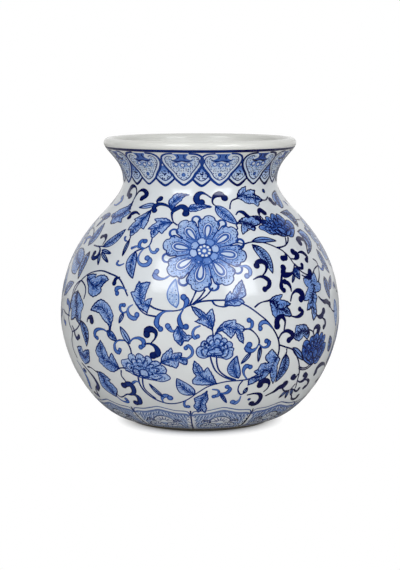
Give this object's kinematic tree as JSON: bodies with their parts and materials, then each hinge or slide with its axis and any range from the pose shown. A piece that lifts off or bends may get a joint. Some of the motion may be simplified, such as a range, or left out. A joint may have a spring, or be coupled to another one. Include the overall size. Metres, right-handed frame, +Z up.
{
  "type": "vase",
  "caption": "Round-bellied porcelain vase with a waisted neck, flared mouth, thick rolled lip, low foot ring and a blue flower scroll painted all over.",
  "frame": {"origin": "on the vase's axis, on the surface that the foot ring stands on", "axes": "+Z up along the vase's axis; -Y towards the viewer, with +X to the viewer's right"},
  "size_m": [0.23, 0.23, 0.233],
  "materials": {
    "glaze": "clear glossy glaze over white porcelain",
    "biscuit": "matt unglazed porcelain",
    "cobalt_dark": "dark cobalt outline under clear glaze",
    "cobalt_mid": "mid cobalt wash under clear glaze",
    "cobalt_pale": "pale cobalt wash under clear glaze"
  },
  "bodies": {
    "root": {"foot_ring": "biscuit", "lower_body": "glaze", "upper_body": "glaze", "neck": "glaze"}
  },
  "joints": []
}
